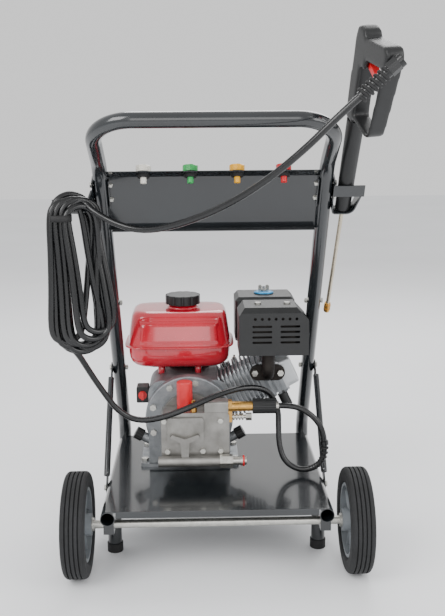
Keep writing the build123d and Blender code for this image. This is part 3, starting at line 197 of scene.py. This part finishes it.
# %% Floor
floor_mesh = bpy.data.meshes.new("floor")
sweep = bmesh.new()
bmesh.ops.create_grid(sweep, x_segments=1, y_segments=1, size=9)
sweep.to_mesh(floor_mesh)
sweep.free()
floor = bpy.data.objects.new("floor", floor_mesh)
bpy.context.collection.objects.link(floor)
print("floor", tuple(floor.dimensions))

# %% Lamps
# Each lamp's place, its size in metres and its power in watts.
lamps = {
    "key": ((-1.7, -1.9, 2.3), 1.7, 62),
    "fill": ((2.1, -1.4, 1.5), 1.6, 30),
    "rim": ((0.4, 1.9, 2.2), 1.8, 42),
    "front": ((0.1, -2.9, 1.3), 1.4, 14),
}
machine_middle = Vector((0, 0, 0.45))
for name, (place, size, watts) in lamps.items():
    lamp_data = bpy.data.lights.new(name, "AREA")
    lamp_data.shape = "SQUARE"
    lamp_data.size = size
    lamp_data.energy = watts
    lamp = bpy.data.objects.new(name, lamp_data)
    bpy.context.collection.objects.link(lamp)
    lamp.location = place
    lamp.rotation_euler = (machine_middle - Vector(place)).to_track_quat("-Z", "Y").to_euler()
world = bpy.data.worlds.new("room")
world.use_nodes = True
world.node_tree.nodes["Background"].inputs["Color"].default_value = (1.0, 1.0, 1.0, 1)
world.node_tree.nodes["Background"].inputs["Strength"].default_value = 1.0
bpy.context.scene.world = world
print("lamps", list(lamps))

# %% [markdown]
# ## Finishes
# Colours are written as sRGB hex values, the way a paint chart gives them, and turned to linear
# light once. A finish starts from a Principled shader with the typical values of its material.
# Then a fine grain of a real size, in millimetres, moves the roughness and the normal a little,
# and a broad stain of dust or wear moves the colour, because nothing real is one flat value.

# %% Helpers for a finish
def linear(colour):
    """An sRGB hex colour as linear RGBA."""
    channels = [int(colour[i:i + 2], 16) / 255 for i in (1, 3, 5)]
    return [c / 12.92 if c <= 0.04045 else ((c + 0.055) / 1.055) ** 2.4 for c in channels] + [1.0]


def add_node(material, kind, fields=None, values=None, links=None):
    """Adds a node, sets its fields and its sockets, and links what feeds them."""
    node = material.node_tree.nodes.new(kind)
    for field, value in (fields or {}).items():
        setattr(node, field, value)
    for socket, value in (values or {}).items():
        node.inputs[socket].default_value = value
    for socket, source in (links or {}).items():
        material.node_tree.links.new(source, node.inputs[socket])
    return node


def new_finish(name, roughness, metallic=0.0, coat=0.0, ior=1.5):
    """An empty finish: the shader with its constant values, and the object's own coordinates."""
    material = bpy.data.materials.new(name)
    material.use_nodes = True
    shader = material.node_tree.nodes["Principled BSDF"]
    shader.inputs["Roughness"].default_value = roughness
    shader.inputs["Metallic"].default_value = metallic
    shader.inputs["Coat Weight"].default_value = coat
    shader.inputs["Coat Roughness"].default_value = 0.08
    if metallic == 0:
        shader.inputs["IOR"].default_value = ior
    place = add_node(material, "ShaderNodeTexCoord").outputs["Object"]
    return material, shader, place


def tint(material, shader, place, light, dark, size_mm, low=0.35, high=0.7):
    """Broad cloudy change between two colours, with clouds of about size_mm."""
    cloud = add_node(material, "ShaderNodeTexNoise",
                     values={"Scale": 1000 / size_mm, "Detail": 4.0}, links={"Vector": place})
    ramp = add_node(material, "ShaderNodeValToRGB", links={"Fac": cloud.outputs["Fac"]})
    ramp.color_ramp.elements[0].position = low
    ramp.color_ramp.elements[0].color = linear(dark)
    ramp.color_ramp.elements[1].position = high
    ramp.color_ramp.elements[1].color = linear(light)
    material.node_tree.links.new(ramp.outputs["Color"], shader.inputs["Base Color"])


def grain(material, shader, place, size_mm, depth_mm, smooth, rough, detail=3.0):
    """Fine grain: it varies the roughness between two values and lifts the surface by depth_mm."""
    noise = add_node(material, "ShaderNodeTexNoise",
                     values={"Scale": 1000 / size_mm, "Detail": detail}, links={"Vector": place})
    spread = add_node(material, "ShaderNodeMapRange",
                      values={"From Min": 0.3, "From Max": 0.7, "To Min": smooth, "To Max": rough},
                      links={"Value": noise.outputs["Fac"]})
    material.node_tree.links.new(spread.outputs["Result"], shader.inputs["Roughness"])
    bump = add_node(material, "ShaderNodeBump",
                    values={"Strength": 0.6, "Distance": depth_mm / 1000},
                    links={"Height": noise.outputs["Fac"]})
    material.node_tree.links.new(bump.outputs["Normal"], shader.inputs["Normal"])


print("finish helpers ready")

# %% [markdown]
# ### Paints
# The frame is powder coated: dry paint baked on in one thick glossy film with a faint orange
# peel of about 3 mm. The red tank is wet enamel under a clear coat, smoother and deeper. The
# guard over the muffler is satin black heat paint, and the rocker cover is silver paint.

# %% Paints
finishes = {}
material, shader, place = new_finish("anthracite_powder_coat", 0.2, coat=0.7)
tint(material, shader, place, "#1d2124", "#171a1d", 90)
grain(material, shader, place, 3.0, 0.05, 0.16, 0.26)
finishes["frame_paint"] = material

material, shader, place = new_finish("red_tank_enamel", 0.25, coat=1.0)
tint(material, shader, place, "#c8142c", "#b20e24", 120)
grain(material, shader, place, 4.0, 0.03, 0.18, 0.28)
finishes["tank_paint"] = material

material, shader, place = new_finish("black_heat_paint", 0.45)
tint(material, shader, place, "#161718", "#101112", 40)
grain(material, shader, place, 1.2, 0.05, 0.38, 0.52)
finishes["guard_paint"] = material

material, shader, place = new_finish("silver_cover_paint", 0.32, metallic=0.55)
tint(material, shader, place, "#c9cbcd", "#b7b9bb", 50)
grain(material, shader, place, 1.5, 0.04, 0.28, 0.42)
finishes["rocker_paint"] = material
print("paints", [m.name for m in finishes.values()])

# %% [markdown]
# ### Rubber and plastics
# Tyre rubber is black with carbon and greys with dust. Moulded grips and feet are softer and
# finer. The rims, caps and gun are moulded plastic, with a spark-eroded mould grain of under a
# millimetre, which is drawn here at 1 mm so that it shows at all.

# %% Rubber and plastics
# Each row: name, light and dark colour, size of the clouds and of the grain, depth of the grain
# in millimetres, and the lowest and highest roughness.
rubbers = {
    "tyre_rubber": ("dusty_tyre_rubber", "#1f2022", "#151617", 30, 1.8, 0.25, 0.7, 0.9),
    "rubber": ("moulded_black_rubber", "#161617", "#0f0f10", 25, 1.2, 0.08, 0.6, 0.78),
    "hose_rubber": ("smooth_hose_cover", "#111214", "#0b0c0d", 60, 2.0, 0.04, 0.2, 0.32),
}
plastics = {
    "rim_plastic": ("grey_moulded_nylon", "#7e8387", "#6f7478", 60, 1.0, 0.05, 0.38, 0.52),
    "black_plastic": ("black_moulded_plastic", "#161718", "#101112", 50, 1.0, 0.05, 0.34, 0.5),
    "white_plastic": ("white_cap_plastic", "#ece9e0", "#ddd9ce", 20, 1.0, 0.03, 0.3, 0.42),
    "green_plastic": ("green_cap_plastic", "#2fae58", "#26994b", 20, 1.0, 0.03, 0.3, 0.42),
    "yellow_plastic": ("yellow_cap_plastic", "#f2b21c", "#e0a012", 20, 1.0, 0.03, 0.3, 0.42),
    "red_plastic": ("red_cap_plastic", "#d8262c", "#c21c22", 20, 1.0, 0.03, 0.3, 0.42),
}
for slot_name, row in {**rubbers, **plastics}.items():
    name, light, dark, cloud_mm, grain_mm, depth_mm, smooth, rough = row
    material, shader, place = new_finish(name, rough, ior=1.52 if slot_name in rubbers else 1.49)
    tint(material, shader, place, light, dark, cloud_mm)
    grain(material, shader, place, grain_mm, depth_mm, smooth, rough)
    finishes[slot_name] = material
print("rubber and plastics", len(rubbers) + len(plastics))

# %% [markdown]
# ### Metals
# The engine is bare sand-cast aluminium with a grain of about 1.5 mm, so it is dull grey. The
# pump is a finer pressure casting. Bolts are bright zinc, fittings are turned
# brass and steel, the lance is stainless, and heat has browned the muffler.

# %% Metals
metals = {
    "cast_aluminium": ("sand_cast_aluminium", "#a3a6a9", "#86898c", 25, 1.6, 0.18, 0.42, 0.62),
    "pump_aluminium": ("pressure_cast_aluminium", "#a09e9a", "#85837f", 30, 1.2, 0.1, 0.38, 0.56),
    "zinc": ("bright_zinc_plate", "#c9c8c2", "#b4b3ad", 12, 0.8, 0.02, 0.24, 0.38),
    "muffler_steel": ("heat_browned_steel", "#3a3633", "#242120", 35, 1.4, 0.08, 0.45, 0.66),
    "steel": ("turned_steel", "#c2c0ba", "#aeaca6", 10, 0.7, 0.02, 0.22, 0.34),
    "brass": ("turned_brass", "#d0a45c", "#b98c48", 14, 0.8, 0.02, 0.22, 0.36),
    "stainless": ("drawn_stainless_tube", "#cfc5b2", "#bdb39f", 40, 0.8, 0.02, 0.2, 0.32),
}
for slot_name, row in metals.items():
    name, light, dark, cloud_mm, grain_mm, depth_mm, smooth, rough = row
    material, shader, place = new_finish(name, rough, metallic=0.9)
    tint(material, shader, place, light, dark, cloud_mm)
    grain(material, shader, place, grain_mm, depth_mm, smooth, rough)
    finishes[slot_name] = material
print("metals", len(metals))

# %% [markdown]
# ### Dressing the frame
# Each CAD part names the finish that it takes, so one loop paints them all.

# %% Dressing the frame
for part in frame["record"]["subparts"]:
    node = frame["nodes"][part["node"]]
    node.data.materials.clear()
    node.data.materials.append(finishes[part["material_slot"]])
hose_mesh.materials.append(finishes["hose_rubber"])
material, shader, place = new_finish("pale_paper_floor", 0.9)
tint(material, shader, place, "#f4f5f7", "#eff0f2", 800)
floor.data.materials.append(material)
print("dressed", len(frame["nodes"]), "parts")

# %% [markdown]
# ## Gun
# The gun is two moulded halves whose edges are rounded by a finger's width, so that a hand can
# hold it for an hour. CAD gives the outline with hard rims. The rims could be bevelled, but the
# outline is curved everywhere and they would pinch. Remaking the shape as an even skin of small
# squares and letting it relax rounds every edge by about the same radius, as moulding does.

# %% A skin that relaxes
def add_piece(name, mesh, finish, body="trolley"):
    """Links a mesh as a smooth piece with its finish, on a body."""
    for face in mesh.polygons:
        face.use_smooth = True
    piece = bpy.data.objects.new(name, mesh)
    bpy.context.collection.objects.link(piece)
    mesh.materials.clear()
    mesh.materials.append(finishes[finish])
    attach(piece, body)
    return piece


def relaxed_skin(node, name, square_mm, rounds):
    """A part's form remade as an even skin, with every edge rounded by relaxing it."""
    skin = bmesh.new()
    skin.from_mesh(frame["nodes"][node].data)
    bmesh.ops.remove_doubles(skin, verts=skin.verts, dist=0.00001)
    rough = bpy.data.meshes.new("rough")
    skin.to_mesh(rough)
    skin.free()
    holder = bpy.data.objects.new("holder", rough)
    bpy.context.collection.objects.link(holder)
    remesh = holder.modifiers.new("even_skin", "REMESH")
    remesh.mode = "VOXEL"
    remesh.voxel_size = square_mm / 1000
    relax = holder.modifiers.new("relaxed", "SMOOTH")
    relax.factor = 0.5
    relax.iterations = rounds
    evaluated = holder.evaluated_get(bpy.context.evaluated_depsgraph_get())
    mesh = bpy.data.meshes.new_from_object(evaluated)
    mesh.name = name
    bpy.data.objects.remove(holder)
    bpy.data.meshes.remove(rough)
    print(name, len(mesh.polygons), "faces")
    return mesh


# %% Gun body
gun_mesh = relaxed_skin("gun_body", "gun_shell", 2.0, 45)
gun_shell = add_piece("gun_shell", gun_mesh, "black_plastic")
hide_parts("gun_body")

# %% [markdown]
# ## Fuel tank
# The tank is two deep-drawn steel bowls welded along a flange. Drawing leaves wide radii, and a
# shallow panel is pressed into the front to stiffen it. A bevelled box would need two bevels that
# meet at tapered corners, where they cross. So each bowl is a stack of rings instead: circles
# pushed towards a rectangle's corners, bridged level by level, and closed at the far end.

# %% Bowls
tank_x, tank_y = -0.074, 0.2067
cap_x, cap_y = -0.066, 0.2147


def squared_ring(bowl, z, width, depth, back, sides=64, squareness=0.42):
    """A circle pushed out towards a rectangle's corners, at a level of the tank."""
    ring = bmesh.ops.create_circle(bowl, segments=sides, radius=1)["verts"]
    for vertex in ring:
        across, along = vertex.co.x, vertex.co.y
        vertex.co.x = tank_x + math.copysign(abs(across) ** squareness, across) * width / 2
        vertex.co.y = tank_y + back + math.copysign(abs(along) ** squareness, along) * depth / 2
        vertex.co.z = z
    return list({edge for vertex in ring for edge in vertex.link_edges})


def drawn_bowl(levels, name, closed=True, pressed=None):
    """Rings bridged level by level and closed at the far end, or at both ends if it's a plate.
    pressed gives the lowest and highest level and the half width of a panel raised in its front."""
    bowl = bmesh.new()
    rings = [squared_ring(bowl, *level) for level in levels]
    for near, far in zip(rings, rings[1:]):
        bmesh.ops.bridge_loops(bowl, edges=near + far)
    for end in rings[-1:] if closed else [rings[0], rings[-1]]:
        bmesh.ops.contextual_create(bowl, geom=end)
    if pressed:
        low, high, half = pressed
        middles = [(face, face.calc_center_median()) for face in bowl.faces]
        panel = [face for face, middle in middles if low < middle.z < high
                 and middle.y < tank_y - 0.04 and abs(middle.x - tank_x) < half]
        bmesh.ops.inset_region(bowl, faces=panel, thickness=0.0035, depth=0.0)
        bmesh.ops.inset_region(bowl, faces=panel, thickness=0.0025, depth=0.0022)
    bmesh.ops.recalc_face_normals(bowl, faces=bowl.faces)
    mesh = bpy.data.meshes.new(name)
    bowl.to_mesh(mesh)
    bowl.free()
    print(name, len(mesh.polygons), "faces")
    return mesh


upper_levels = [(0.3890, 0.222, 0.156, 0.000), (0.3940, 0.221, 0.155, 0.000),
                (0.4040, 0.219, 0.152, 0.001), (0.4300, 0.212, 0.144, 0.003),
                (0.4460, 0.207, 0.138, 0.005), (0.4530, 0.203, 0.133, 0.006),
                (0.4580, 0.196, 0.126, 0.007), (0.4605, 0.188, 0.118, 0.0075),
                (0.4615, 0.176, 0.106, 0.008), (0.4618, 0.120, 0.070, 0.008)]
upper_mesh = drawn_bowl(upper_levels, "tank_upper", pressed=(0.396, 0.446, 0.086))
tank_upper = add_piece("tank_upper", upper_mesh, "tank_paint")
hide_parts("fuel_tank")
lower_levels = [(0.3890, 0.222, 0.156, 0), (0.3760, 0.221, 0.155, 0), (0.3640, 0.218, 0.152, 0),
                (0.3540, 0.211, 0.145, 0), (0.3465, 0.198, 0.132, 0), (0.3420, 0.182, 0.116, 0),
                (0.3400, 0.166, 0.100, 0), (0.3395, 0.100, 0.060, 0)]
lower_mesh = drawn_bowl(lower_levels, "tank_lower")
add_piece("tank_lower", lower_mesh, "tank_paint")

# %% Flange, neck and posts
flange_levels = [(0.3872, 0.218, 0.152, 0), (0.3872, 0.234, 0.168, 0), (0.3878, 0.236, 0.170, 0),
                 (0.3898, 0.236, 0.170, 0), (0.3904, 0.234, 0.168, 0), (0.3904, 0.218, 0.152, 0)]
flange_mesh = drawn_bowl(flange_levels, "tank_flange", closed=False)
add_piece("tank_flange", flange_mesh, "tank_paint")


def turned(profile, place, name, steps=48):
    """A round piece: a profile of (radius, height) pairs spun once about an upright."""
    lathe = bmesh.new()
    ring = [lathe.verts.new(Vector((radius, 0, height))) for radius, height in profile]
    edges = [lathe.edges.new(pair) for pair in zip(ring, ring[1:])]
    bmesh.ops.spin(lathe, geom=ring + edges, cent=(0, 0, 0), axis=(0, 0, 1), dvec=(0, 0, 0),
                   angle=2 * math.pi, steps=steps, use_merge=True, use_duplicate=False)
    bmesh.ops.remove_doubles(lathe, verts=lathe.verts, dist=0.000001)
    bmesh.ops.translate(lathe, verts=lathe.verts, vec=place)
    bmesh.ops.recalc_face_normals(lathe, faces=lathe.faces)
    mesh = bpy.data.meshes.new(name)
    lathe.to_mesh(mesh)
    lathe.free()
    return mesh


neck = [(0.0222, -0.006), (0.036, -0.006), (0.0345, 0.002), (0.031, 0.0045), (0.029, 0.0078),
        (0.0222, 0.0078), (0.0222, -0.006)]
add_piece("tank_neck", turned(neck, (cap_x, cap_y, 0.461), "tank_neck"), "tank_paint")
post = [(0, -0.0025), (0.007, -0.0025), (0.007, 0.025), (0, 0.025)]
for column, x in enumerate((-0.04, 0.04)):
    for row, y in enumerate((-0.044, -0.014)):
        name = f"tank_post_{column}{row}"
        add_piece(name, turned(post, (tank_x + x, tank_y + y, 0.321), name, 24), "tank_paint")
print("tank flange, neck and posts made")

# %% [markdown]
# ## Springs and rings on the hose
# Rubber hose kinks where it leaves a rigid fitting, so a spiral guard of hard rubber is slipped
# over it there and spreads the bend. It is a round bar wound on a former: in mesh terms a small
# circle spun about the hose's line and moved along it a little at every step.

# %% Spiral guard at the gun
relief_start = Vector((0.2671, -0.3102, 0.9325))
relief_end = Vector((0.2241, -0.3044, 0.8941))
stand_up = Matrix.Rotation(math.pi / 2, 3, "X")


def to_line(begin, finish):
    """The turn and move that carries the upright at the origin onto a line."""
    way = finish - begin
    return Matrix.Translation(begin) @ way.to_track_quat("Z", "Y").to_matrix().to_4x4()


def spiral(begin, finish, coil_radius, bar_radius, rounds, name):
    """A round bar wound about the line from begin to finish."""
    length = (finish - begin).length
    steps = int(rounds * 22)
    winding = bmesh.new()
    section = bmesh.ops.create_circle(winding, segments=10, radius=bar_radius)["verts"]
    bmesh.ops.rotate(winding, verts=section, cent=(0, 0, 0), matrix=stand_up)
    bmesh.ops.translate(winding, verts=section, vec=(coil_radius, 0, 0))
    bmesh.ops.spin(winding, geom=winding.verts[:] + winding.edges[:], cent=(0, 0, 0),
                   axis=(0, 0, 1), dvec=(0, 0, length / steps), angle=2 * math.pi * rounds,
                   steps=steps, use_merge=False, use_duplicate=False)
    bmesh.ops.remove_doubles(winding, verts=winding.verts, dist=0.000001)
    bmesh.ops.holes_fill(winding, edges=winding.edges, sides=12)
    bmesh.ops.recalc_face_normals(winding, faces=winding.faces)
    bmesh.ops.transform(winding, matrix=to_line(begin, finish), verts=winding.verts)
    mesh = bpy.data.meshes.new(name)
    winding.to_mesh(mesh)
    winding.free()
    return mesh


spiral_from = relief_start.lerp(relief_end, 0.05)
spiral_mesh = spiral(spiral_from, relief_end, 0.0098, 0.0026, 7.0, "gun_spiral")
gun_spiral = add_piece("gun_spiral", spiral_mesh, "rubber")
print("spiral", len(spiral_mesh.polygons), "faces")

# %% Ribs below the pump
# The lower guard is moulded in one with the sleeve: ten ribs that get thinner away from it.
sleeve_end = Vector((0.2245, 0.0137, 0.205))
rib_start = min(range(len(hose_line)), key=lambda i: (hose_line[i] - sleeve_end).length)
ribs_wanted, rib_pitch, rib_thinning = 10, 0.0046, 0.035
rib_bar, rib_ring = 0.0019, 0.0068
ribs = bmesh.new()
travelled, next_rib, rib_count = 0.0, 0.0, 0
for here, there in zip(hose_line[rib_start:], hose_line[rib_start + 1:]):
    if travelled >= next_rib and rib_count < ribs_wanted:
        taper = 1 - rib_thinning * rib_count
        section = bmesh.ops.create_circle(ribs, segments=8, radius=rib_bar * taper)["verts"]
        bmesh.ops.rotate(ribs, verts=section, cent=(0, 0, 0), matrix=stand_up)
        bmesh.ops.translate(ribs, verts=section, vec=(rib_ring * taper, 0, 0))
        edges = list({edge for vertex in section for edge in vertex.link_edges})
        before = set(ribs.verts) - set(section)
        bmesh.ops.spin(ribs, geom=section + edges, cent=(0, 0, 0), axis=(0, 0, 1), dvec=(0, 0, 0),
                       angle=2 * math.pi, steps=24, use_merge=True, use_duplicate=False)
        ring = [vertex for vertex in ribs.verts if vertex not in before]
        bmesh.ops.transform(ribs, matrix=to_line(here, there), verts=ring)
        rib_count += 1
        next_rib += rib_pitch
    travelled += (there - here).length
bmesh.ops.remove_doubles(ribs, verts=ribs.verts, dist=0.000001)
bmesh.ops.recalc_face_normals(ribs, faces=ribs.faces)
rib_mesh = bpy.data.meshes.new("hose_ribs")
ribs.to_mesh(rib_mesh)
ribs.free()
hose_ribs = add_piece("hose_ribs", rib_mesh, "rubber")
print("ribs", rib_count)

# %% [markdown]
# ## Small parts
# Three small things finish the front: the blue disc under the wing nut, which spreads its load on
# the air cleaner's lid, the red ring of the garden-hose inlet, and the webbing tie on the coil.

# %% Disc, ring and tie
nut_low, nut_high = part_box("wing_nut")
nut_x, nut_y = (nut_low[0] + nut_high[0]) / 2, (nut_low[1] + nut_high[1]) / 2
material, shader, place = new_finish("blue_anodised_disc", 0.35, metallic=0.6)
tint(material, shader, place, "#3f95c8", "#3386b8", 10)
grain(material, shader, place, 0.8, 0.02, 0.28, 0.4)
finishes["blue_disc"] = material
disc = [(0.0075, 0.0042), (0.0218, 0.0006), (0.0218, 0.0030), (0.0075, 0.0062), (0.0075, 0.0042)]
add_piece("nut_disc", turned(disc, (nut_x, nut_y, nut_low[2]), "nut_disc"), "blue_disc",
          body="wing_nut")

ring = [(0.0095, 0), (0.0112, 0.0006), (0.0112, 0.0034), (0.0095, 0.004), (0.0095, 0)]
ring_mesh = turned(ring, (0, 0, 0), "inlet_ring", 32)
ring_place = Matrix.Translation((0.054, -0.0063, 0.186)) @ Matrix.Rotation(math.pi / 2, 4, "Y")
ring_mesh.transform(ring_place)
add_piece("inlet_ring", ring_mesh, "red_plastic")

tie = bmesh.new()
bmesh.ops.create_cube(tie, size=1)
tie_middle = Vector((-0.279, -0.095, 0.690))
tie_size = Vector((0.042, 0.030, 0.012))
for vertex in tie.verts:
    vertex.co = tie_middle + vertex.co * tie_size
upright = [e for e in tie.edges if abs(e.verts[0].co.z - e.verts[1].co.z) > 0.001]
bmesh.ops.bevel(tie, geom=upright, offset=0.012, segments=6, profile=0.5, affect="EDGES",
                material=-1)
caps = [face for face in tie.faces if abs(face.normal.z) > 0.9]
bmesh.ops.delete(tie, geom=caps, context="FACES_ONLY")
bmesh.ops.solidify(tie, geom=tie.faces[:], thickness=0.0015)
bmesh.ops.recalc_face_normals(tie, faces=tie.faces)
tie_mesh = bpy.data.meshes.new("coil_tie")
tie.to_mesh(tie_mesh)
tie.free()
add_piece("coil_tie", tie_mesh, "rubber")
print("disc, ring and tie made")
